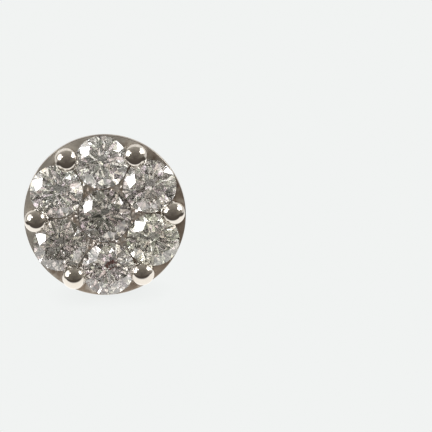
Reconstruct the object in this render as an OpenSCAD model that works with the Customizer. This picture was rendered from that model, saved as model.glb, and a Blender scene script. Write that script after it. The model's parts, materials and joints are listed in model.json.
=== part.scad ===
/* [Stones] */
// Diameter of each round brilliant across its girdle
stone_d = 2.74; // [2.6:0.02:2.8]
// Width of the table, corner to corner, as a share of the stone's diameter
table_ratio = 0.57; // [0.53:0.01:0.62]
// Slope of the main crown facets, in degrees
crown_angle = 34.5; // [32:0.5:36]
// Slope of the main pavilion facets, in degrees
pavilion_angle = 40.8; // [40:0.2:42]
// Thickness of the girdle as a share of the stone's diameter
girdle_ratio = 0.035; // [0.03:0.005:0.05]
// Gap between the girdles of neighbouring stones
stone_gap = 0.06; // [0.05:0.01:0.12]

/* [Head] */
// Metal left outside the outer stones, at the rim
rim_margin = 0.03; // [0.02:0.01:0.1]
// How far the plate's front lies behind the middle of the girdles
plate_recess = 0.12; // [0.08:0.01:0.16]
// Depth of the straight band round the rim
band_depth = 0.4; // [0.3:0.05:0.6]
// Depth of the whole head behind the girdles
head_depth = 1.8; // [1.7:0.05:2.2]
// Radius of the flat in the middle of the domed back
back_flat_r = 1.5; // [1.2:0.1:1.8]
// Diameter of the window drilled through behind each outer stone
window_d = 1.6; // [1.4:0.1:1.8]

/* [Bead prongs] */
// Diameter of the ball at the end of each prong
bead_d = 1.24; // [1.1:0.02:1.3]
// Height of the ball's centre above the girdles
bead_rise = 0.38; // [0.34:0.02:0.44]
// How far the balls stay inside the rim
bead_inset = 0.05; // [0.03:0.01:0.1]

/* [Ear post] */
// Diameter of the post wire
post_d = 0.8; // [0.7:0.05:1]
// Length of the post behind the head, with its round tip
post_length = 10; // [9:0.5:12]
// Diameter of the solder collar round the post's foot
collar_d = 1.4; // [1.2:0.1:1.8]
// Height of the solder collar
collar_h = 0.2; // [0.1:0.05:0.3]
// How far behind the clutch the post's notch lies
notch_gap = 0.15; // [0.1:0.05:0.3]

/* [Clutch] */
// Room for the ear between the head's back and the clutch
lobe_gap = 3.2; // [3:0.1:3.6]
// Width of the clutch's strip
clutch_w = 3.8; // [3:0.1:4.5]
// Thickness of the strip
strip_t = 0.22; // [0.18:0.02:0.3]
// Outer diameter of each curl
curl_d = 2; // [1.8:0.1:2.2]

/* [Hidden] */
$fn = 96;

stone_count = 6;
stone_r = stone_d / 2;
girdle_half = girdle_ratio * stone_d / 2;
star_ratio = 0.5;         // length of the star facets, from the table's edge to the girdle
lower_half_ratio = 0.77;  // length of the lower girdle facets, from the girdle to the culet
seat_gap = 0.02;          // air between a stone and its seat
over_cut = 1;             // how far a cutter runs past what it cuts

stone_ring_r = stone_d + stone_gap;
head_r = stone_ring_r + stone_r + rim_margin;
rim_chamfer = 0.06;
band_end = -plate_recess - band_depth;
window_r = window_d / 2;
bead_r = bead_d / 2;
bead_ring_r = head_r - bead_r - bead_inset;
neck_r = 0.6 * bead_r;
post_r = post_d / 2;
collar_r = collar_d / 2;
tip_centre = -head_depth - post_length + post_r;
notch_r = 0.85 * post_r;
notch_w = 0.2;
curl_r = curl_d / 2;
post_gap = 0.03;          // air between the post and the clutch
clutch_front = -head_depth - lobe_gap;
curl_y = post_r + post_gap + curl_r;
curl_z = clutch_front - curl_r;
notch_z = clutch_front - curl_d - notch_gap - notch_w;

// How each stone was set by hand: its turn about its own axis, its lean, and the direction of
// the lean. The first six lie in the ring, and the last is the middle stone.
TURN = 0;
LEAN = 1;
LEAN_TO = 2;
STONES = [
    // turn, lean, lean to
    [23, 1.2,  40],
    [ 7, 0.8, 120],
    [16, 1.5, 200],
    [17, 2.0, 250],
    [ 1, 1.0,  20],
    [40, 1.2, 330],
    [10, 0.6, 150],
];
CENTRE = stone_count;
ring_step = 360 / stone_count;

// The domed back is a ball that meets the band's end and the flat's edge.
dome_centre = (pow(head_r, 2) + pow(band_end, 2) - pow(back_flat_r, 2) - pow(head_depth, 2))
    / (2 * (band_end + head_depth));
dome_r = sqrt(pow(head_r, 2) + pow(band_end - dome_centre, 2));

// The stud lies on the back edge of its rim and on the lower curl of its clutch, so its face
// looks up by this angle.
rim_to_curl = [head_r - curl_y, band_end - curl_z];
lean_back = acos(curl_r / norm(rim_to_curl)) - atan(rim_to_curl[1] / rim_to_curl[0]);
rest_height = head_r * cos(lean_back) - band_end * sin(lean_back);

// Furthest reach to the front, at the two lowest beads, and to the back, at the post's tip.
lowest_bead_y = -bead_rise * cos(lean_back) - bead_ring_r * cos(ring_step / 2) * sin(lean_back) - bead_r;
tip_y = -tip_centre * cos(lean_back) + post_r;
middle_y = (lowest_bead_y + tip_y) / 2;

// Lays what is built on the stud's own axis, face up, down on the surface as it rests.
module at_rest() {
    translate([0, -middle_y, rest_height])
        rotate([90 - lean_back, 0, 0])
            children();
}

// Puts what is built at the origin, table up, into the place of stone i.
module in_seat(i) {
    ring = i == CENTRE ? 0 : stone_ring_r;
    at = (i + 0.5) * ring_step;
    s = STONES[i];
    rotate([0, 0, at])
        translate([ring, 0, 0])
            rotate([0, 0, s[LEAN_TO] - at])
                rotate([0, s[LEAN], 0])
                    rotate([0, 0, s[TURN] - s[LEAN_TO]])
                        children();
}

// Points and planes of a round brilliant. Azimuth 0 is the middle of a main facet.
function polar(r, azimuth, z) = [r * cos(azimuth), r * sin(azimuth), z];
function plane_z(a, b, c, x, y) =
    let (n = cross(b - a, c - a))
    a[2] - (n[0] * (x - a[0]) + n[1] * (y - a[1])) / n[2];

main_step = 45;
half_step = main_step / 2;
girdle_count = 32;
girdle_step = 360 / girdle_count;

table_r = table_ratio * stone_r;
crown_top = girdle_half + (stone_r - table_r) * tan(crown_angle);
star_r = table_r * cos(half_step) + star_ratio * (stone_r - table_r * cos(half_step));
star_z = girdle_half + (stone_r - star_r * cos(half_step)) * tan(crown_angle);
lower_r = (1 - lower_half_ratio) * stone_r;
lower_z = -girdle_half - (stone_r - lower_r * cos(half_step)) * tan(pavilion_angle);
culet_z = -girdle_half - stone_r * tan(pavilion_angle);

// Height of the girdle's edge at an azimuth, where the girdle facets that start at the
// point (inner_r, inner_z) cut the round girdle. It dips between the facets' corners.
function girdle_z(azimuth, inner_r, inner_z, edge_z) =
    let (
        k = floor(azimuth / half_step),
        low = k * half_step,
        high = low + half_step,
        inner_at = k % 2 == 0 ? high : low,
        p = polar(stone_r, azimuth, 0)
    )
    plane_z(
        polar(inner_r, inner_at, inner_z),
        polar(stone_r, low, edge_z),
        polar(stone_r, high, edge_z),
        p[0],
        p[1]
    );

TABLE = 0;
STAR = 8;
UPPER = 16;
LOWER = UPPER + girdle_count;
HALVES = LOWER + girdle_count;
CULET = HALVES + 8;

brilliant_points = concat(
    [for (k = [0:7]) polar(table_r, k * main_step, crown_top)],
    [for (k = [0:7]) polar(star_r, (k + 0.5) * main_step, star_z)],
    [for (j = [0:girdle_count - 1])
        polar(stone_r, j * girdle_step, girdle_z(j * girdle_step, star_r, star_z, girdle_half))],
    [for (j = [0:girdle_count - 1])
        polar(stone_r, j * girdle_step, girdle_z(j * girdle_step, lower_r, lower_z, -girdle_half))],
    [for (k = [0:7]) polar(lower_r, (k + 0.5) * main_step, lower_z)],
    [[0, 0, culet_z]]
);

function ring_point(start, j, count) = start + (j + count) % count;
function upper(j) = ring_point(UPPER, j, girdle_count);
function lower(j) = ring_point(LOWER, j, girdle_count);

brilliant_faces = concat(
    [[for (k = [7:-1:0]) TABLE + k]],
    [for (k = [0:7]) [TABLE + k, ring_point(TABLE, k + 1, 8), STAR + k]],
    [for (k = [0:7]) [TABLE + k, STAR + k, upper(4 * k), ring_point(STAR, k - 1, 8)]],
    [for (k = [0:7]) [STAR + k, upper(4 * k + 2), upper(4 * k + 1), upper(4 * k)]],
    [for (k = [0:7]) [STAR + k, upper(4 * k + 4), upper(4 * k + 3), upper(4 * k + 2)]],
    [for (j = [0:girdle_count - 1]) [upper(j), upper(j + 1), lower(j + 1), lower(j)]],
    [for (k = [0:7]) [HALVES + k, lower(4 * k), lower(4 * k + 1), lower(4 * k + 2)]],
    [for (k = [0:7]) [HALVES + k, lower(4 * k + 2), lower(4 * k + 3), lower(4 * k + 4)]],
    [for (k = [0:7]) [CULET, ring_point(HALVES, k - 1, 8), lower(4 * k), HALVES + k]]
);

// One round brilliant-cut diamond: table, 8 stars, 8 mains, 16 upper and 16 lower girdle
// facets, 8 pavilion mains and the girdle.
module brilliant() {
    color([0.86, 0.87, 0.86, 0.6])
        polyhedron(points = brilliant_points, faces = brilliant_faces, convexity = 2);
}

module stone(i) {
    at_rest() in_seat(i) brilliant();
}

// Round space that a stone needs, a little larger than the ridges between its facets. The
// space behind it narrows to its culet, or runs out through a window.
module stone_space(open_behind) {
    r = stone_r + seat_gap;
    ridge_slope = (lower_z + girdle_half) / (lower_r - stone_r);
    crown_gap = seat_gap / cos(crown_angle);
    pavilion_gap = seat_gap / cos(atan(ridge_slope));
    bearing_z = -girdle_half - pavilion_gap - (stone_r - window_r) * ridge_slope;
    behind = open_behind
        ? [[window_r, bearing_z], [window_r, -head_depth - over_cut], [0, -head_depth - over_cut]]
        : [[lower_r, lower_z - pavilion_gap], [0, culet_z - pavilion_gap]];
    rotate_extrude()
        polygon(concat(
            [
                [0, crown_top + crown_gap],
                [table_r, crown_top + crown_gap],
                [star_r, star_z + crown_gap],
                [r, girdle_half + crown_gap],
                [r, -girdle_half - pavilion_gap + seat_gap * ridge_slope],
            ],
            behind
        ));
}

// Round cup: a straight band at the rim and a domed back with a flat in its middle.
module cup() {
    intersection() {
        rotate_extrude()
            polygon([
                [0, -plate_recess],
                [head_r - rim_chamfer, -plate_recess],
                [head_r, -plate_recess - rim_chamfer],
                [head_r, -head_depth],
                [0, -head_depth],
            ]);
        translate([0, 0, dome_centre]) sphere(r = dome_r);
    }
}

module bead_prong(k) {
    rotate([0, 0, k * ring_step])
        translate([bead_ring_r, 0, 0]) {
            translate([0, 0, bead_rise]) sphere(r = bead_r);
            translate([0, 0, -plate_recess - neck_r]) cylinder(r = neck_r, h = bead_rise + plate_recess + neck_r);
        }
}

// Straight wire with a round tip and a notch that stops the clutch from sliding off.
module ear_post() {
    translate([0, 0, -head_depth - collar_h]) cylinder(r = collar_r, h = collar_h + seat_gap);
    difference() {
        translate([0, 0, tip_centre]) cylinder(r = post_r, h = -head_depth - tip_centre);
        translate([0, 0, notch_z])
            difference() {
                cylinder(r = post_r + over_cut, h = notch_w);
                translate([0, 0, -over_cut]) cylinder(r = notch_r, h = notch_w + 2 * over_cut);
            }
    }
    translate([0, 0, tip_centre]) sphere(r = post_r);
}

// Cast head with its soldered post: the cup, drilled for the stones, and the bead prongs,
// which are notched to the stones that they hold.
module setting() {
    color([0.8, 0.77, 0.73])
        at_rest() {
            difference() {
                union() {
                    cup();
                    for (k = [0:stone_count - 1]) bead_prong(k);
                }
                for (i = [0:stone_count - 1]) in_seat(i) stone_space(true);
                in_seat(CENTRE) stone_space(false);
            }
            ear_post();
        }
}

// Half of the clutch's strip, seen from its side: from the plate once round the curl and on
// into it, ever tighter, and back along the strip's inner side.
curl_from = -90;
curl_round = 180;
curl_to = 320;
curl_steps = 41;
curl_tighter = 0.45 * curl_r;
function curl_angle(k) = curl_from + (curl_to - curl_from) * k / curl_steps;
function curl_point(a, thickness) =
    let (r = curl_r - thickness - curl_tighter * max(0, (a - curl_round) / (curl_to - curl_round)))
    [curl_y + r * cos(a), -r * sin(a)];
half_strip = concat(
    [for (k = [0:curl_steps]) curl_point(curl_angle(k), 0)],
    [for (k = [curl_steps:-1:0]) curl_point(curl_angle(k), strip_t)]
);
other_half = [for (k = [len(half_strip) - 1:-1:0]) [-half_strip[k][0], half_strip[k][1]]];

// Push-on clutch: one strip of sheet, pierced for the post, with both ends curled back
// until they press on the post.
module clutch() {
    color([0.78, 0.76, 0.73])
        at_rest()
            translate([0, 0, curl_z])
                difference() {
                    translate([-clutch_w / 2, 0, 0])
                        rotate([90, 0, 90])
                            linear_extrude(height = clutch_w)
                                polygon(concat(half_strip, other_half));
                    cylinder(r = post_r + post_gap, h = curl_r + over_cut);
                }
}

setting();
stone(CENTRE);  // stone_centre
stone(0);  // stone_1
stone(1);  // stone_2
stone(2);  // stone_3
stone(3);  // stone_4
stone(4);  // stone_5
stone(5);  // stone_6
clutch();
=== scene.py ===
import json
import random
from math import asin, cos, floor, hypot, pi, radians, sin, sqrt, tan

import bmesh
import bpy
from mathutils import Matrix, Vector, noise


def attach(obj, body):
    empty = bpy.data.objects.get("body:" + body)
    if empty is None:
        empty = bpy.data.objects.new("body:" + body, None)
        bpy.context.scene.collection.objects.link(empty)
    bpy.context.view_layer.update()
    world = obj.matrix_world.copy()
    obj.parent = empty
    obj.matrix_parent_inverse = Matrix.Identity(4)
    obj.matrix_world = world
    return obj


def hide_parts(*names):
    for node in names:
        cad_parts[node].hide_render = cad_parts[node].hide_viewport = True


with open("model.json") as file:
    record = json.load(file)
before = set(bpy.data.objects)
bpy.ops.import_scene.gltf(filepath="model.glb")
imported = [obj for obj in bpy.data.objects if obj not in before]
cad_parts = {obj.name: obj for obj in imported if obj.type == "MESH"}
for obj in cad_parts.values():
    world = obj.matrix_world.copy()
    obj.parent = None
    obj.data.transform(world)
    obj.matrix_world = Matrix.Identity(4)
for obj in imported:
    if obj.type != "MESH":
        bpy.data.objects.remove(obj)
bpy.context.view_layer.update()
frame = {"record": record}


# The stones: seven round brilliant-cut diamonds of a plain grade, cut and polished before the
# setting is made for them. Each has a table, 8 star, 8 main and 16 upper girdle facets, a thin
# bruted girdle, and 16 lower girdle and 8 main facets below it, and is clouded inside.

MM = 0.001      # the sizes below are in millimetres
TINY = 1e-6
STONE_R = 1.37
TABLE_SHARE = 0.57
CROWN_SLOPE = radians(34.5)
PAVILION_SLOPE = radians(40.8)
GIRDLE_HALF = 0.048
STAR_SHARE = 0.5
LOWER_SHARE = 0.77
GIRDLE_STEPS = 64
MAINS = 8
MAIN = 2 * pi / MAINS

table_r = TABLE_SHARE * STONE_R
crown_top = GIRDLE_HALF + (STONE_R - table_r) * tan(CROWN_SLOPE)
star_r = table_r * cos(MAIN / 2) + STAR_SHARE * (STONE_R - table_r * cos(MAIN / 2))
star_z = GIRDLE_HALF + (STONE_R - star_r * cos(MAIN / 2)) * tan(CROWN_SLOPE)
lower_r = (1 - LOWER_SHARE) * STONE_R
lower_z = -GIRDLE_HALF - (STONE_R - lower_r * cos(MAIN / 2)) * tan(PAVILION_SLOPE)
culet_z = -GIRDLE_HALF - STONE_R * tan(PAVILION_SLOPE)

CROWN, GIRDLE, PAVILION, CRYSTAL, FEATHER, STAIN = range(6)


def polar(r, azimuth, z):
    """A point so far from the axis, in a direction round it, at a height."""
    return Vector((r * cos(azimuth), r * sin(azimuth), z))


def girdle_edge(azimuth, inner_r, inner_z, edge_z):
    """The girdle's edge at an azimuth, where the girdle facets cut the round girdle."""
    k = floor(azimuth / (MAIN / 2) + TINY)
    low, high = k * MAIN / 2, (k + 1) * MAIN / 2
    inner = polar(inner_r, high if k % 2 == 0 else low, inner_z)
    facet = (polar(STONE_R, low, edge_z) - inner).cross(polar(STONE_R, high, edge_z) - inner)
    edge = polar(STONE_R, azimuth, 0)
    edge.z = inner.z - (facet.x * (edge.x - inner.x) + facet.y * (edge.y - inner.y)) / facet.z
    return edge


def cut_brilliant():
    """One cut stone, in millimetres, with its girdle round the origin and its table up."""
    bm = bmesh.new()
    per_main = GIRDLE_STEPS // MAINS
    table = [bm.verts.new(polar(table_r, k * MAIN, crown_top)) for k in range(MAINS)]
    stars = [bm.verts.new(polar(star_r, (k + 0.5) * MAIN, star_z)) for k in range(MAINS)]
    halves = [bm.verts.new(polar(lower_r, (k + 0.5) * MAIN, lower_z)) for k in range(MAINS)]
    culet = bm.verts.new((0, 0, culet_z))
    azimuths = [2 * pi * j / GIRDLE_STEPS for j in range(GIRDLE_STEPS)]
    upper = [bm.verts.new(girdle_edge(a, star_r, star_z, GIRDLE_HALF)) for a in azimuths]
    lower = [bm.verts.new(girdle_edge(a, lower_r, lower_z, -GIRDLE_HALF)) for a in azimuths]
    bm.faces.new(table)
    for k in range(MAINS):
        start, middle, end = k * per_main, k * per_main + per_main // 2, (k + 1) * per_main
        bm.faces.new((table[k], stars[k], table[(k + 1) % MAINS]))
        bm.faces.new((table[k], stars[k - 1], upper[start], stars[k]))
        for low, high in ((start, middle), (middle, end)):
            bm.faces.new([stars[k]] + [upper[j % GIRDLE_STEPS] for j in range(low, high + 1)])
            facet = [halves[k]] + [lower[j % GIRDLE_STEPS] for j in range(high, low - 1, -1)]
            bm.faces.new(facet).material_index = PAVILION
        bm.faces.new((culet, halves[k - 1], lower[start], halves[k])).material_index = PAVILION
    for j in range(GIRDLE_STEPS):
        n = (j + 1) % GIRDLE_STEPS
        bm.faces.new((lower[j], lower[n], upper[n], upper[j])).material_index = GIRDLE
    bmesh.ops.recalc_face_normals(bm, faces=bm.faces)
    return bm


# what grew inside a stone: half its length, and its thickness as a share of that
CRYSTAL_SIZE = (0.03, 0.10), (0.15, 0.30)
FEATHER_SIZE = (0.08, 0.34), (0.07, 0.20)
FEATHERS = 7
GROWN_CLEAR = 0.04      # of the stone's surface
GROWN_UPRIGHT = 0.6     # they stand up less than they lie
SPINDLE_FLAT = 0.4


def inside_stone(point):
    """Whether a point lies well inside the stone."""
    to_girdle = STONE_R - hypot(point.x, point.y)
    top = min(crown_top, GIRDLE_HALF + to_girdle * tan(CROWN_SLOPE))
    bottom = -GIRDLE_HALF - to_girdle * tan(PAVILION_SLOPE)
    return bottom + GROWN_CLEAR < point.z < top - GROWN_CLEAR


def spindle(bm, middle, along, wide, kind):
    """One small closed crystal: a three-sided belt with a tip at each end."""
    flat = along.normalized().cross(wide) * SPINDLE_FLAT
    tips = [bm.verts.new(middle + along), bm.verts.new(middle - along)]
    thirds = [2 * pi * k / 3 for k in range(3)]
    belt = [bm.verts.new(middle + wide * cos(a) + flat * sin(a)) for a in thirds]
    for k in range(3):
        bm.faces.new((tips[0], belt[k], belt[(k + 1) % 3])).material_index = kind
        bm.faces.new((tips[1], belt[(k + 1) % 3], belt[k])).material_index = kind


def grow_inside(bm, draw, count, size, kind):
    """Scatters so many crystals of one kind through the stone."""
    half_length, slimness = size
    while count > 0:
        middle = Vector((draw.uniform(-STONE_R, STONE_R), draw.uniform(-STONE_R, STONE_R),
                         draw.uniform(culet_z, crown_top)))
        along = Vector((draw.gauss(0, 1), draw.gauss(0, 1), draw.gauss(0, GROWN_UPRIGHT)))
        along = along.normalized() * draw.uniform(*half_length)
        if inside_stone(middle + along) and inside_stone(middle - along):
            count -= 1
            wide = along.orthogonal().normalized() * along.length * draw.uniform(*slimness)
            spindle(bm, middle, along, wide, kind)


STAIN_SPREAD = 0.8
FLECK_SIZE = (0.2, 0.4)     # as a share of the stain


def stain_inside(bm, draw, middle, along, half_width, flecks):
    """A rusty stain, of flecks that lie close together."""
    middle, along = Vector(middle), Vector(along)
    across = along.cross(Vector((0, 0, 1))).normalized() * half_width
    for k in range(flecks):
        where = middle + along * draw.uniform(-STAIN_SPREAD, STAIN_SPREAD) \
            + across * draw.uniform(-STAIN_SPREAD, STAIN_SPREAD)
        length, width = draw.uniform(*FLECK_SIZE), draw.uniform(*FLECK_SIZE)
        spindle(bm, where, along * length, across * width, STAIN)


OUTER_STONES = 6
SIXTH = pi / 3      # of a turn
STONE_RING_R = 2.80
# each stone: the turn of a main facet, its lean and the direction of its lean, in degrees, the
# colour of its body, and how many dark crystals it holds
STONES = [
    ("stone_1", 23, 1.2, 40, (0.875, 0.885, 0.88), 45),
    ("stone_2", 7, 0.8, 120, (0.97, 0.985, 0.99), 30),
    ("stone_3", 16, 1.5, 200, (0.96, 0.975, 0.965), 90),
    ("stone_4", 17, 2.0, 250, (0.71, 0.70, 0.685), 100),
    ("stone_5", 1, 1.0, 20, (0.875, 0.87, 0.865), 60),
    ("stone_6", 40, 1.2, 330, (0.955, 0.97, 0.905), 80),
    ("stone_centre", 10, 0.6, 150, (0.585, 0.575, 0.56), 100),
]
# the rusty stain in two of them: its middle and half its length, along the stone's own axes, half
# its width, and how many flecks it has
STAINS = {
    "stone_5": ((0.20, 0.27, 0.18), (0.26, 0.19, 0.02), 0.26, 22),
    "stone_centre": ((-0.40, 1.05, 0.02), (-0.07, -0.24, 0.01), 0.08, 6),
}
FIRST_SEED = 100


def seat_place(i):
    """Where stone i sits on the head: six in a ring, and the last in the middle."""
    turn, lean, lean_to = (radians(angle) for angle in STONES[i][1:4])
    at = (i + 0.5) * SIXTH
    from_axis = STONE_RING_R if i < OUTER_STONES else 0
    return Matrix.Rotation(at, 4, "Z") @ Matrix.Translation((from_axis, 0, 0)) \
        @ Matrix.Rotation(lean_to - at, 4, "Z") @ Matrix.Rotation(lean, 4, "Y") \
        @ Matrix.Rotation(turn - lean_to, 4, "Z")


def set_inputs(node, inputs):
    """Gives each named input its value, or links it to the socket that feeds it."""
    for label, value in inputs.items():
        if isinstance(value, bpy.types.NodeSocket):
            node.id_data.links.new(value, node.inputs[label])
        else:
            node.inputs[label].default_value = value


def add(tree, kind, inputs=None, **settings):
    """A new node with its settings and its inputs."""
    node = tree.nodes.new(kind)
    for label, value in settings.items():
        setattr(node, label, value)
    set_inputs(node, inputs or {})
    return node


def maths(tree, how, *values):
    """The result of one sum on sockets or numbers."""
    return add(tree, "ShaderNodeMath", dict(enumerate(values)), operation=how).outputs[0]


def mapped(tree, value, inputs):
    """A value brought from one range to another, and held inside it."""
    return add(tree, "ShaderNodeMapRange", {"Value": value, **inputs}).outputs["Result"]


def mixed(tree, share, first, second, how="MIX"):
    """Two colours mixed by the second one's share."""
    # a mix node has its colours in places 6, 7 and 2, after those for numbers and vectors
    colours = {0: share, 6: first, 7: second}
    return add(tree, "ShaderNodeMix", colours, data_type="RGBA", blend_type=how).outputs[2]


def ramped(tree, value, stops, between="LINEAR"):
    """The colour that belongs to a value, by stops of (value, colour)."""
    node = add(tree, "ShaderNodeValToRGB", {"Fac": value})
    node.color_ramp.interpolation = between
    for k, (at, colour) in enumerate(stops):
        stop = node.color_ramp.elements[k] if k < 2 else node.color_ramp.elements.new(at)
        stop.position = at
        stop.color = (*colour, 1)
    return node.outputs["Color"]


def grained(tree, where, per_mm, detail):
    """An even noise, with so many grains in a millimetre."""
    return add(tree, "ShaderNodeTexNoise",
               {"Vector": where, "Scale": per_mm, "Detail": detail}).outputs["Fac"]


def place_in_mm(tree):
    """The place of a surface point, in millimetres."""
    place = add(tree, "ShaderNodeTexCoord").outputs["Object"]
    return add(tree, "ShaderNodeVectorMath", {"Vector": place, "Scale": 1 / MM},
               operation="SCALE").outputs["Vector"]


def group_of(name, inputs, outputs):
    """An empty shader group with its inputs, each with its value, and its outputs."""
    group = bpy.data.node_groups.new(name, "ShaderNodeTree")
    for label, value in inputs.items():
        kind = "NodeSocketColor" if isinstance(value, tuple) else "NodeSocketFloat"
        socket = group.interface.new_socket(name=label, in_out="INPUT", socket_type=kind)
        socket.default_value = value
    for label, kind in outputs.items():
        group.interface.new_socket(name=label, in_out="OUTPUT", socket_type=kind)
    given = group.nodes.new("NodeGroupInput").outputs
    return group, given, group.nodes.new("NodeGroupOutput")


# The body of a diamond: clouds of faint colour in it, and a fine grain where they lie on a facet.
CLOUD_EDGE = {"From Min": 0.4, "From Max": 0.65}

body_group, given, made = group_of(
    "diamond body",
    {"Tint": (0.97, 0.97, 0.97, 1), "Cloud": (0.86, 0.85, 0.83, 1),
     "Clouds per mm": 0.9, "Grain per mm": 10.0},
    {"Color": "NodeSocketColor", "Height": "NodeSocketFloat"})
where = place_in_mm(body_group)
clouds = grained(body_group, where, given["Clouds per mm"], detail=3)
clouds = mapped(body_group, clouds, CLOUD_EDGE)
set_inputs(made, {
    "Color": mixed(body_group, clouds, given["Tint"], given["Cloud"]),
    "Height": grained(body_group, where, given["Grain per mm"], detail=1)})


def new_material(name):
    """A new material, its nodes and its shader."""
    material = bpy.data.materials.new(name)
    material.use_nodes = True
    return material, material.node_tree, material.node_tree.nodes["Principled BSDF"]


def raise_marks(shader, height, depth):
    """Lets marks of a depth in millimetres show in the light on the surface."""
    bump = add(shader.id_data, "ShaderNodeBump", {"Height": height, "Distance": depth * MM})
    set_inputs(shader, {"Normal": bump.outputs["Normal"]})


DIAMOND_IOR = 2.417
CLOUDED = (0.82, 0.80, 0.78)
CLOUD_DEPTH = 0.0009    # of the grain that clouds give the facets below the girdle
CLOUD_GRAIN = 10
BRUTED_TINT = (0.95, 0.95, 0.94)
BRUTED_ROUGHNESS = 0.45
BRUTED_DEPTH = 0.004
BRUTED_GRAIN = 30


def diamond(name, tint, roughness=0, grain=CLOUD_GRAIN, depth=0):
    """Clear diamond with its clouds, and with a grain on the surface if it has a depth."""
    material, tree, shader = new_material(name)
    cloud = [share * shade for share, shade in zip(CLOUDED, tint)]
    body = add(tree, "ShaderNodeGroup", {
        "Tint": (*tint, 1), "Cloud": (*cloud, 1), "Grain per mm": grain}, node_tree=body_group)
    set_inputs(shader, {"Base Color": body.outputs["Color"], "Transmission Weight": 1,
                        "IOR": DIAMOND_IOR, "Roughness": roughness})
    if depth:
        raise_marks(shader, body.outputs["Height"], depth)
    return material


GROWN_SHADES_PER_MM = 0.7


def grown(name, roughness, shades):
    """What grew in a stone, in shades that change from place to place."""
    material, tree, shader = new_material(name)
    patches = grained(tree, place_in_mm(tree), GROWN_SHADES_PER_MM, detail=2)
    set_inputs(shader, {"Base Color": ramped(tree, patches, shades), "Roughness": roughness})
    return material


bruted_girdle = diamond(
    "bruted girdle", BRUTED_TINT, BRUTED_ROUGHNESS, BRUTED_GRAIN, BRUTED_DEPTH)
dark_crystal = grown("dark crystal", roughness=0.5, shades=[
    (0.40, (0.012, 0.012, 0.011)), (0.58, (0.05, 0.035, 0.028)), (0.72, (0.24, 0.07, 0.05))])
rusty_stain = grown("rusty stain", roughness=0.6, shades=[
    (0.40, (0.36, 0.15, 0.12)), (0.62, (0.68, 0.42, 0.36))])
pale_feather = grown("pale feather", roughness=0.7, shades=[
    (0.35, (0.80, 0.80, 0.80)), (0.70, (0.60, 0.50, 0.46))])

# The stud's own axis is the line of its ear post. It lies tipped back on the rim of its head and
# the lower curl of its clutch, so each piece is shaped face up on the axis, with the girdles at
# height 0, and then laid down.
POST_MIDDLE_TO_GIRDLES = 9.375    # from the middle of the post's free length

post_mount = frame["record"]["mounts"][0]
post_axis = Vector(post_mount["axis"]).normalized()
face_normal = -post_axis
head_middle = Vector(post_mount["pos_m"]) + face_normal * POST_MIDDLE_TO_GIRDLES * MM
face_right = Vector((1, 0, 0))
face_up = face_normal.cross(face_right)
lay_down = Matrix.Translation(head_middle) \
    @ Matrix((face_right, face_up, face_normal)).transposed().to_4x4() @ Matrix.Scale(MM, 4)


def shaped(name, bm):
    """The body as an object, still on the stud's own axis and in millimetres."""
    mesh = bpy.data.meshes.new(name)
    bm.to_mesh(mesh)
    bm.free()
    piece = bpy.data.objects.new(name, mesh)
    bpy.context.scene.collection.objects.link(piece)
    return piece


def finish_piece(piece, materials, node, smooth_below=0):
    """Lays the piece in its place with its finish, and lets it stand for its CAD node."""
    mesh = piece.data
    mesh.transform(lay_down)
    for material in materials:
        mesh.materials.append(material)
    if smooth_below:
        mesh.shade_smooth()
        mesh.set_sharp_from_angle(angle=radians(smooth_below))
    else:
        mesh.shade_flat()
    mesh.update()
    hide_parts(node)
    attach(piece, "root")


for i, (node, *_, tint, crystals) in enumerate(STONES):
    bm = cut_brilliant()
    draw = random.Random(FIRST_SEED + i)
    grow_inside(bm, draw, crystals, CRYSTAL_SIZE, CRYSTAL)
    grow_inside(bm, draw, FEATHERS, FEATHER_SIZE, FEATHER)
    if node in STAINS:
        stain_inside(bm, draw, *STAINS[node])
    which = node.split("_")[1]
    stone = shaped("brilliant_" + which, bm)
    stone.data.transform(seat_place(i))
    crown = diamond("diamond crown " + which, tint)
    pavilion = diamond("diamond pavilion " + which, tint, depth=CLOUD_DEPTH)
    finish_piece(stone, [crown, bruted_girdle, pavilion, dark_crystal, pale_feather, rusty_stain],
                 node)


# The cup: a cast white-gold plate with a straight rim and a domed back; the rim's band and the
# back are a darker copy of the gold, which is painted shade. It is drilled with a seat for each
# stone, and the outer seats run out through the back as windows.
# The graver has left its face uneven and dull, with bright cuts on the webs between the stones;
# the webs' gold is also painted lighter, as painted light against the shade between the stones.

HEAD_R = 4.2
PLATE_Z = -0.12
BAND_END = -0.52        # where the straight rim ends and the dome begins
HEAD_DEPTH = 1.8
BACK_FLAT_R = 1.5
WINDOW_R = 0.8
RIM_ROUND = 0.03
RIM_STEPS = 6
DOME_STEPS = 24
SEAT_GAP = 0.02         # between a stone and its seat
DRILL_PAST = 1          # how far a drill runs on beyond the metal
SMOOTH_BELOW = 30       # degrees between two faces, and a sharper edge stays sharp
CUP_STEPS = 256
SEAT_STEPS = 128
FACE_RINGS = 48
FACE_WAVE = 0.5
FACE_UNEVEN = 0.08
RIM_EVENS = 3           # how fast the face evens out towards the rim, per mm
FACE_RAISED = 0.14      # how far the graver has pushed up the metal between the stones
RAISED_R = 2.9          # where it begins to rise
WEBS_TO_R = 2.3         # where the bright cuts end
CUT_WAVE = 0.17
CUT_UNEVEN = 0.12
GRAVED, PAINTED_SHADE_BAND, WEB = range(3)

# the dome is part of a ball that meets the end of the rim's band and the edge of the flat back
dome_middle = (HEAD_R ** 2 + BAND_END ** 2 - BACK_FLAT_R ** 2 - HEAD_DEPTH ** 2) \
    / (2 * (BAND_END + HEAD_DEPTH))
dome_r = hypot(HEAD_R, BAND_END - dome_middle)
dome_from = asin((BAND_END - dome_middle) / dome_r)
dome_to = asin((-HEAD_DEPTH - dome_middle) / dome_r)
face_r = HEAD_R - RIM_ROUND


def steps_between(start, end, steps):
    """Evenly spaced values from the start to the end, both of them too."""
    return [start + (end - start) * k / steps for k in range(steps + 1)]


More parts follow.
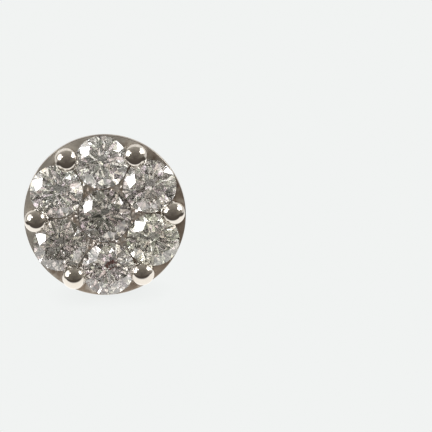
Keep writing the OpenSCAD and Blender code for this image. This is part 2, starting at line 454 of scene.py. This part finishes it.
cup_profile = [(r, PLATE_Z) for r in steps_between(0, face_r, FACE_RINGS)]
cup_profile += [(face_r + RIM_ROUND * sin(a), PLATE_Z - RIM_ROUND + RIM_ROUND * cos(a))
                for a in steps_between(0, pi / 2, RIM_STEPS)[1:]]
cup_profile += [(dome_r * cos(a), dome_middle + dome_r * sin(a))
                for a in steps_between(dome_from, dome_to, DOME_STEPS)]
cup_profile += [(0, -HEAD_DEPTH)]


def turned(profile, steps):
    """A closed body turned from (radius, height) points that start and end on the axis."""
    bm = bmesh.new()
    rings = []
    for r, z in profile:
        if r < TINY:
            rings.append([bm.verts.new((0, 0, z))])
        else:
            rings.append([bm.verts.new(polar(r, 2 * pi * k / steps, z)) for k in range(steps)])
    for low, high in zip(rings, rings[1:]):
        for k in range(steps):
            n = (k + 1) % steps
            if len(low) == 1:
                bm.faces.new((low[0], high[n], high[k]))
            elif len(high) == 1:
                bm.faces.new((low[k], low[n], high[0]))
            else:
                bm.faces.new((low[k], low[n], high[n], high[k]))
    bmesh.ops.recalc_face_normals(bm, faces=bm.faces)
    return bm


def cut_away(piece, cutters):
    """Drills or notches the piece with each cutter."""
    for cutter in cutters:
        cut = piece.modifiers.new("cut", "BOOLEAN")
        cut.operation = "DIFFERENCE"
        cut.solver = "EXACT"
        cut.object = cutter
    bpy.context.view_layer.update()
    uncut = piece.data
    drilled = piece.evaluated_get(bpy.context.evaluated_depsgraph_get())
    piece.data = bpy.data.meshes.new_from_object(drilled)
    piece.modifiers.clear()
    bpy.data.meshes.remove(uncut)


def put_away(tool):
    """Takes a cutter off the bench once its cut is made."""
    mesh = tool.data
    bpy.data.objects.remove(tool)
    bpy.data.meshes.remove(mesh)


def seat_space(open_behind):
    """The round space that a stone needs, a hair larger than the ridges between its facets."""
    ridge = (lower_z + GIRDLE_HALF) / (lower_r - STONE_R)
    above = SEAT_GAP / cos(CROWN_SLOPE)
    below = SEAT_GAP * sqrt(1 + ridge ** 2)
    profile = [(0, crown_top + above), (table_r, crown_top + above), (star_r, star_z + above),
               (STONE_R + SEAT_GAP, GIRDLE_HALF + above),
               (STONE_R + SEAT_GAP, -GIRDLE_HALF - below + SEAT_GAP * ridge)]
    if open_behind:
        bearing = -GIRDLE_HALF - below - (STONE_R - WINDOW_R) * ridge
        drilled_to = -HEAD_DEPTH - DRILL_PAST
        profile += [(WINDOW_R, bearing), (WINDOW_R, drilled_to), (0, drilled_to)]
    else:
        profile += [(lower_r, lower_z - below), (0, culet_z - below)]
    return turned(profile, SEAT_STEPS)


seats = []
for i in range(len(STONES)):
    seat = shaped("seat_%d" % (i + 1), seat_space(open_behind=i < OUTER_STONES))
    seat.data.transform(seat_place(i))
    seats.append(seat)

# Worked gold: lapping marks and a faint haze from handling, which dull it here and there. The
# haze can also be made heavier towards the stud's right and low down on it, which is painted
# shade.
HAZE_AND_SHADE_EDGE = {"From Min": 0.38, "From Max": 0.66}
MARKS_DRAWN_OUT = (0.15, 1, 1)

gold_group, given, made = group_of(
    "worked gold",
    {"Bright": (0.7, 0.66, 0.61, 1), "Tarnished and shaded": (0.62, 0.57, 0.51, 1), "Smooth": 0.05,
     "Dull": 0.15, "Haze per mm": 0.8, "Painted shade to the right": 0.0, "Painted shade downwards": 0.0,
     "Marks per mm": 14.0},
    {"Color": "NodeSocketColor", "Roughness": "NodeSocketFloat", "Height": "NodeSocketFloat"})
where = place_in_mm(gold_group)
side = add(gold_group, "ShaderNodeSeparateXYZ", {"Vector": where}).outputs
below = maths(gold_group, "SUBTRACT", head_middle.z / MM, side["Z"])
haze_and_painted_shade = grained(gold_group, where, given["Haze per mm"], detail=4)
# painted shade: the haze is made heavier towards the stud's right and low down on it
haze_and_painted_shade = maths(gold_group, "MULTIPLY_ADD", side["X"], given["Painted shade to the right"], haze_and_painted_shade)
haze_and_painted_shade = maths(gold_group, "MULTIPLY_ADD", below, given["Painted shade downwards"], haze_and_painted_shade)
haze_and_painted_shade = mapped(gold_group, haze_and_painted_shade, HAZE_AND_SHADE_EDGE)
drawn_out = add(gold_group, "ShaderNodeVectorMath", {0: where, 1: MARKS_DRAWN_OUT},
                operation="MULTIPLY").outputs["Vector"]
set_inputs(made, {
    "Color": mixed(gold_group, haze_and_painted_shade, given["Bright"], given["Tarnished and shaded"]),
    "Roughness": mapped(gold_group, haze_and_painted_shade, {"To Min": given["Smooth"], "To Max": given["Dull"]}),
    "Height": grained(gold_group, drawn_out, given["Marks per mm"], detail=3)})


def gold(name, depth, values):
    """White gold with the worked gold's marks, of a depth in millimetres."""
    material, tree, shader = new_material(name)
    worked = add(tree, "ShaderNodeGroup", values, node_tree=gold_group).outputs
    set_inputs(shader, {
        "Metallic": 1, "Base Color": worked["Color"], "Roughness": worked["Roughness"]})
    raise_marks(shader, worked["Height"], depth)
    return material


polished_gold = gold("polished white gold", depth=0.0004, values={
    "Bright": (0.71, 0.67, 0.62, 1), "Tarnished and shaded": (0.66, 0.62, 0.56, 1),
    "Smooth": 0.05, "Dull": 0.12})
# the graved face is made darker towards the stud's right and low down on it: painted shade
graved_gold = gold("graved white gold", depth=0.01, values={
    "Bright": (0.97, 0.93, 0.86, 1), "Tarnished and shaded": (0.50, 0.42, 0.35, 1),
    "Smooth": 0.5, "Dull": 0.7, "Haze per mm": 1.8, "Painted shade to the right": 0.035,
    "Painted shade downwards": 0.04, "Marks per mm": 9.0})
# a lighter copy of the graved gold for the webs: painted light against their shade; the lower
# roughness is the bright cut's own
web_gold_painted_lighter = gold("bright-cut white gold with painted light", depth=0.02, values={
    "Bright": (1.0, 0.98, 0.94, 1), "Tarnished and shaded": (0.80, 0.67, 0.57, 1),
    "Smooth": 0.2, "Dull": 0.45, "Haze per mm": 4.5, "Marks per mm": 14.0})
# a darker copy of the gold for the rim's band and the back: painted shade
painted_shade_gold = gold("white gold with painted shade", depth=0.002, values={
    "Bright": (0.44, 0.40, 0.35, 1), "Tarnished and shaded": (0.27, 0.23, 0.20, 1),
    "Smooth": 0.3, "Dull": 0.5, "Haze per mm": 1.1, "Marks per mm": 6.0})

bm = turned(cup_profile, CUP_STEPS)
for vert in bm.verts:
    if vert.co.z > PLATE_Z - TINY:
        from_axis = hypot(vert.co.x, vert.co.y)
        raised = FACE_RAISED * min(1, max(0, RAISED_R - from_axis))
        even_rim = min(1, (face_r - from_axis) * RIM_EVENS)
        uneven = FACE_UNEVEN * even_rim * noise.noise(vert.co / FACE_WAVE)
        if from_axis < WEBS_TO_R:
            uneven += CUT_UNEVEN * noise.noise(vert.co / CUT_WAVE)
        vert.co.z += raised + uneven
for face in bm.faces:
    middle = face.calc_center_median()
    from_axis = hypot(middle.x, middle.y)
    # the rim's band and the back take the darker gold, which is painted shade
    if middle.z < PLATE_Z - FACE_UNEVEN or from_axis > face_r:
        face.material_index = PAINTED_SHADE_BAND
    # the webs take the lighter gold, which is painted light
    elif from_axis < WEBS_TO_R:
        face.material_index = WEB
cup = shaped("cup", bm)
cut_away(cup, seats)
finish_piece(cup, [graved_gold, painted_shade_gold, web_gold_painted_lighter], "setting",
             SMOOTH_BELOW)


# The bead prongs: six near the rim, each a short stem with a large polished ball on its end. Each
# stands between two outer stones, is notched to their girdles and holds both down.

BALL_R = 0.635
BALL_RISE = 0.38
BALL_RING_R = 3.53
STEM_R = 0.372
BALL_STEPS = 96
BALL_RINGS = 44

stem_end = PLATE_Z - STEM_R
ball_to_stem = pi - asin(STEM_R / BALL_R)
prong_profile = [(0, BALL_RISE + BALL_R)]
prong_profile += [(BALL_R * sin(a), BALL_RISE + BALL_R * cos(a))
                  for a in steps_between(0, ball_to_stem, BALL_RINGS)[1:]]
prong_profile += [(STEM_R, stem_end), (0, stem_end)]

for k in range(OUTER_STONES):
    prong = shaped("bead_prong_%d" % (k + 1), turned(prong_profile, BALL_STEPS))
    in_ring = Matrix.Rotation(k * SIXTH, 4, "Z") @ Matrix.Translation((BALL_RING_R, 0, 0))
    prong.data.transform(in_ring)
    cut_away(prong, [seats[(k - 1) % OUTER_STONES], seats[k]])
    finish_piece(prong, [polished_gold], "setting", SMOOTH_BELOW)
for seat in seats:
    put_away(seat)


# The ear post: straight white-gold wire, soldered to the middle of the cup's back in a low
# collar of solder. Its end is rounded, and a notch keeps the clutch from sliding off.

POST_R = 0.4
POST_END = -11.8
COLLAR_R = 0.7
COLLAR_H = 0.2
COLLAR_STEPS = 9
NOTCH_R = 0.34
NOTCH_LOW = -7.35
NOTCH_HIGH = -7.15
NOTCH_ROUND = 0.03
TIP_STEPS = 15
WIRE_STEPS = 64
WIRE_SMOOTH_BELOW = 35

post_profile = [(0, -HEAD_DEPTH + SEAT_GAP), (COLLAR_R, -HEAD_DEPTH + SEAT_GAP)]
post_profile += [(COLLAR_R - (COLLAR_R - POST_R) * sin(a), -HEAD_DEPTH - COLLAR_H * (1 - cos(a)))
                 for a in steps_between(0, pi / 2, COLLAR_STEPS)]
post_profile += [(POST_R, NOTCH_HIGH + NOTCH_ROUND), (NOTCH_R, NOTCH_HIGH - NOTCH_ROUND),
                 (NOTCH_R, NOTCH_LOW + NOTCH_ROUND), (POST_R, NOTCH_LOW - NOTCH_ROUND)]
post_profile += [(POST_R * cos(a), POST_END + POST_R - POST_R * sin(a))
                 for a in steps_between(0, pi / 2, TIP_STEPS)[:-1]]
post_profile += [(0, POST_END)]

post = shaped("ear_post", turned(post_profile, WIRE_STEPS))
finish_piece(post, [polished_gold], "setting", WIRE_SMOOTH_BELOW)


# The push-on clutch: one strip of white-gold sheet, pierced for the post, with both ends curled
# back until they press on the post. Its edges are tumbled smooth.

CLUTCH_FRONT = -5.0
CLUTCH_W = 3.8
STRIP_T = 0.22
CURL_R = 1.0
POST_GAP = 0.03
CURL_FROM, CURL_ROUND, CURL_TO = radians(-90), radians(180), radians(320)
CURL_IN = 0.45          # how much tighter the curl is at its end than up to where it is round
CURL_STEPS = 96
EDGE_ROUND = 0.04
EDGE_STEPS = 3
EDGE_SHARP = radians(60)

eye_r = POST_R + POST_GAP
curl_y = eye_r + CURL_R


def curl_point(step, depth, side):
    """A point of the strip's outline, so many steps round the curl and so deep in the sheet."""
    a = CURL_FROM + (CURL_TO - CURL_FROM) * step / CURL_STEPS
    r = CURL_R - depth - CURL_IN * CURL_R * max(0, (a - CURL_ROUND) / (CURL_TO - CURL_ROUND))
    return (side * (curl_y + r * cos(a)), CLUTCH_FRONT - CURL_R - r * sin(a))


# half the outline: along the outside of the strip, and back along the inside
half = [(k, 0) for k in range(CURL_STEPS + 1)] + [(k, STRIP_T) for k in range(CURL_STEPS, -1, -1)]
outline = [curl_point(k, depth, 1) for k, depth in half]
outline += [curl_point(k, depth, -1) for k, depth in reversed(half)]
bm = bmesh.new()
ends = [[bm.verts.new((x, y, z)) for y, z in outline] for x in (-CLUTCH_W / 2, CLUTCH_W / 2)]
for end in ends:
    bm.faces.new(end)
for k in range(len(outline)):
    n = (k + 1) % len(outline)
    bm.faces.new((ends[0][k], ends[0][n], ends[1][n], ends[1][k]))
bmesh.ops.recalc_face_normals(bm, faces=bm.faces)
cut_edges = [edge for edge in bm.edges if edge.calc_face_angle(0) > EDGE_SHARP]
bmesh.ops.bevel(bm, geom=cut_edges, offset=EDGE_ROUND, segments=EDGE_STEPS, profile=0.5,
                affect="EDGES")
clutch = shaped("push_on_clutch", bm)
eye_from, eye_to = CLUTCH_FRONT + DRILL_PAST, CLUTCH_FRONT - CURL_R
eye = shaped("eye", turned([(0, eye_from), (eye_r, eye_from), (eye_r, eye_to), (0, eye_to)],
                           WIRE_STEPS))
cut_away(clutch, [eye])
put_away(eye)
finish_piece(clutch, [polished_gold], "clutch", SMOOTH_BELOW)


# The camera: a long lens far off and a little above the line of the face, turned by the few
# degrees by which the stud lies askew. The stud keeps its place in the left half of the picture.

PHOTO = 432     # pixels each way
HEAD_PX = (104.8, 215.7)
MM_PER_PX = 0.05185
ABOVE_FACE = radians(9)
CAMERA_ROLL = radians(-3.27)
CAMERA_FAR = 150
SEEN_FROM, SEEN_TO = 0.005, 20      # metres

camera_height = asin(face_normal.z) + ABOVE_FACE
to_camera = Vector((0, -cos(camera_height), sin(camera_height)))
level_right = Vector((1, 0, 0))
level_up = to_camera.cross(level_right)
picture_right = level_right * cos(CAMERA_ROLL) + level_up * sin(CAMERA_ROLL)
picture_up = level_up * cos(CAMERA_ROLL) - level_right * sin(CAMERA_ROLL)
aim_px = (PHOTO / 2 - HEAD_PX[0], HEAD_PX[1] - PHOTO / 2)
aim = head_middle + (aim_px[0] * picture_right + aim_px[1] * picture_up) * MM_PER_PX * MM
camera = bpy.data.objects.new("camera", bpy.data.cameras.new("camera"))
bpy.context.scene.collection.objects.link(camera)
camera.matrix_world = Matrix.Translation(aim + to_camera * CAMERA_FAR * MM) \
    @ Matrix((picture_right, picture_up, to_camera)).transposed().to_4x4()
camera.data.lens = camera.data.sensor_width * CAMERA_FAR / (PHOTO * MM_PER_PX)
camera.data.clip_start = SEEN_FROM
camera.data.clip_end = SEEN_TO
bpy.context.scene.camera = camera


# The studio: a plain pale floor and backdrop, a round soft box on each side, and a dim, warm
# room with lighter and darker patches, which the facets break up into sparkle.

PALE = (0.879, 0.896, 0.887, 1)
FLOOR_HALF = 1.0
CONTACT_REACH = 1.2
CONTACT_SHADE = 0.07
CONTACT_SAMPLES = 8

scene = bpy.context.scene
scene.view_settings.view_transform = "Standard"
# light turns many times inside a cut stone
scene.cycles.max_bounces = 24
scene.cycles.glossy_bounces = 16
scene.cycles.transmission_bounces = 24

floor_sheet = bpy.data.meshes.new("floor")
corners = [(x * FLOOR_HALF, y * FLOOR_HALF, 0) for x, y in ((-1, -1), (1, -1), (1, 1), (-1, 1))]
floor_sheet.from_pydata(corners, [], [(0, 1, 2, 3)])
floor_object = bpy.data.objects.new("floor", floor_sheet)
scene.collection.objects.link(floor_object)

# The balls mirror a bright sheet under the stud, with the dim room's floor beyond it ahead and to
# the sides, and a lit floor behind.
ZONE_MIDDLE = (-0.5, -3.0)
ZONE_SEEN = 60          # how far out the zone's last shade lies
ZONE_WIDER = 0.45       # the sheet reaches this much less far ahead than to the sides
ZONE = [
    (0.087, (1.28, 1.26, 1.22)),
    (0.108, (0.09, 0.079, 0.07)),
    (0.4, (0.115, 0.102, 0.088)),
    (1.0, (0.13, 0.115, 0.10)),
]
BEHIND = (0.0, 6.0)     # where the floor begins to brighten again, and where it is fully lit
BEHIND_LIGHT = (0.85, 0.83, 0.80, 1)
FLOOR_IN_STONES = (0.27, 0.26, 0.24, 1)     # at the least, as the stones' clouds spread the light

floor_material, tree, shader = new_material("pale floor")
tree.nodes.remove(shader)
rays = add(tree, "ShaderNodeLightPath").outputs
place = add(tree, "ShaderNodeNewGeometry").outputs["Position"]
place = add(tree, "ShaderNodeSeparateXYZ", {"Vector": place}).outputs
across = maths(tree, "SUBTRACT", place["X"], ZONE_MIDDLE[0] * MM)
sideways = maths(tree, "ABSOLUTE", maths(tree, "MULTIPLY", across, ZONE_WIDER))
ahead = maths(tree, "SUBTRACT", ZONE_MIDDLE[1] * MM, place["Y"])
how_far = maths(tree, "MAXIMUM", sideways, ahead)
floor_light = ramped(tree, mapped(tree, how_far, {"From Max": ZONE_SEEN * MM}), ZONE)
behind = {"From Min": BEHIND[0] * MM, "From Max": BEHIND[1] * MM}
floor_light = mixed(tree, mapped(tree, place["Y"], behind), floor_light, BEHIND_LIGHT)
floor_light = mixed(tree, rays["Is Transmission Ray"], floor_light, FLOOR_IN_STONES, "LIGHTEN")
contact = add(tree, "ShaderNodeAmbientOcclusion", {"Distance": CONTACT_REACH * MM},
              samples=CONTACT_SAMPLES).outputs["AO"]
shade = mapped(tree, contact, {"To Min": 1 - CONTACT_SHADE, "To Max": 1})
mirrored = add(tree, "ShaderNodeEmission", {"Color": floor_light})
seen = add(tree, "ShaderNodeEmission", {"Color": PALE, "Strength": shade})
either = add(tree, "ShaderNodeMixShader", {
    0: rays["Is Camera Ray"], 1: mirrored.outputs[0], 2: seen.outputs[0]})
set_inputs(tree.nodes["Material Output"], {"Surface": either.outputs[0]})
floor_sheet.materials.append(floor_material)

# the room's light from behind the camera, -1, to behind the stud, 1
ROOM = [
    (-1.0, (0.116, 0.103, 0.088)),
    (-0.92, (0.153, 0.137, 0.121)),
    (-0.52, (0.215, 0.195, 0.172)),
    (-0.11, (0.293, 0.270, 0.240)),
    (0.38, (0.377, 0.352, 0.318)),
    (0.55, (0.42, 0.40, 0.366)),
    (0.72, (0.95, 0.91, 0.86)),
]
ROOM_IN_STONES = 2.6
ROOM_IN_METAL = 1.0
PATCHES = 16
PATCH_LIGHT = [(0.0, (0.10, 0.10, 0.10)), (0.33, (0.97, 1.03, 1.06)), (0.72, (3.1, 3.35, 3.5))]
PATCH_TINT = 0.13
PATCHES_IN_METAL = 0.15

world = bpy.data.worlds.new("studio")
scene.world = world
world.use_nodes = True
tree = world.node_tree
rays = add(tree, "ShaderNodeLightPath").outputs
around = add(tree, "ShaderNodeTexCoord").outputs["Generated"]
to_behind = add(tree, "ShaderNodeSeparateXYZ", {"Vector": around}).outputs["Y"]
to_behind = mapped(tree, to_behind, {"From Min": -1, "From Max": 1})
room_light = ramped(tree, to_behind, [((y + 1) / 2, colour) for y, colour in ROOM])
cells = add(tree, "ShaderNodeTexVoronoi", {"Vector": around, "Scale": PATCHES}).outputs["Color"]
chance = add(tree, "ShaderNodeSeparateXYZ", {"Vector": cells}).outputs["X"]
patches = ramped(tree, chance, PATCH_LIGHT, "CONSTANT")
patch_share = maths(tree, "MAXIMUM", rays["Is Transmission Ray"], PATCHES_IN_METAL)
room_light = mixed(tree, PATCH_TINT, room_light, cells, "SOFT_LIGHT")
room_light = mixed(tree, patch_share, room_light, patches, "MULTIPLY")
strength = mapped(tree, rays["Is Transmission Ray"], {
    "To Min": ROOM_IN_METAL, "To Max": ROOM_IN_STONES})
room = add(tree, "ShaderNodeBackground", {"Color": room_light, "Strength": strength})
backdrop = tree.nodes["Background"]
set_inputs(backdrop, {"Color": PALE})
either = add(tree, "ShaderNodeMixShader", {
    0: rays["Is Camera Ray"], 1: room.outputs[0], 2: backdrop.outputs[0]})
set_inputs(tree.nodes["World Output"], {"Surface": either.outputs[0]})

# each light, by the spot where it shows on a ball, in radii across and up, its width in degrees
# and its glow: a soft box on each side, with a hot spot where its lamp stands behind the cloth
LIGHTS = {
    "left_soft_box": (-0.58, 0.27, 46, 1.45),
    "left_hot_spot": (-0.52, 0.14, 20, 7.0),
    "upper_hot_spot": (-0.345, 0.285, 9, 7.0),
    "right_soft_box": (0.61, 0.47, 42, 1.45),
    "right_hot_spot": (0.50, 0.35, 24, 7.0),
}
BOX_FAR = 300
SPOT_FAR = 295

for name, (spot_x, spot_y, wide, glow) in LIGHTS.items():
    far = SPOT_FAR if name.endswith("spot") else BOX_FAR
    spot_out = sqrt(1 - spot_x ** 2 - spot_y ** 2)
    spot = spot_x * picture_right + spot_y * picture_up + spot_out * to_camera
    towards = 2 * spot.dot(to_camera) * spot - to_camera
    lamp = bpy.data.lights.new(name, "AREA")
    lamp.shape = "DISK"
    lamp.size = 2 * far * MM * tan(radians(wide / 2))
    lamp.energy = glow * pi * pi * (lamp.size / 2) ** 2
    box = bpy.data.objects.new(name, lamp)
    box.matrix_world = Matrix.Translation(head_middle + towards * far * MM) \
        @ towards.to_track_quat("Z", "Y").to_matrix().to_4x4()
    box.visible_camera = False
    scene.collection.objects.link(box)
